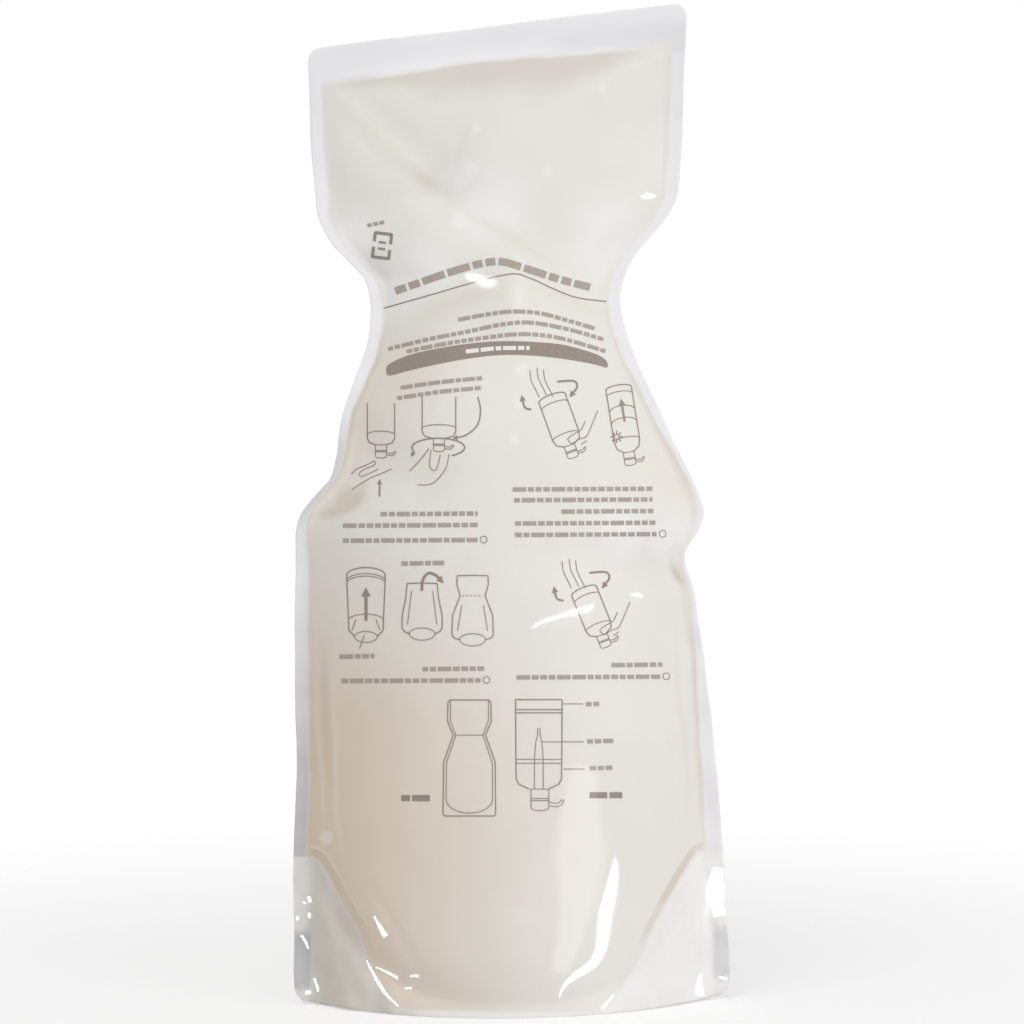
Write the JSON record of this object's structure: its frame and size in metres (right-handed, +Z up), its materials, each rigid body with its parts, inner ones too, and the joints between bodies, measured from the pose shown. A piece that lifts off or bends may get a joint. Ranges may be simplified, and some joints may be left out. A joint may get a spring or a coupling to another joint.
{
  "type": "shampoo refill pouch",
  "caption": "Filled stand-up refill pouch of milky laminated film with a waist, sealed all round and standing on a folded gusset.",
  "frame": {"origin": "on the table, under the middle of the pouch's box", "axes": "+Z up along the pouch, +Y from the printed front to the back, +X to the right seen from the front"},
  "size_m": [0.1226, 0.0696, 0.2838],
  "materials": {
    "film": "gloss"
  },
  "bodies": {
    "root": {"pouch": "film"}
  },
  "joints": []
}
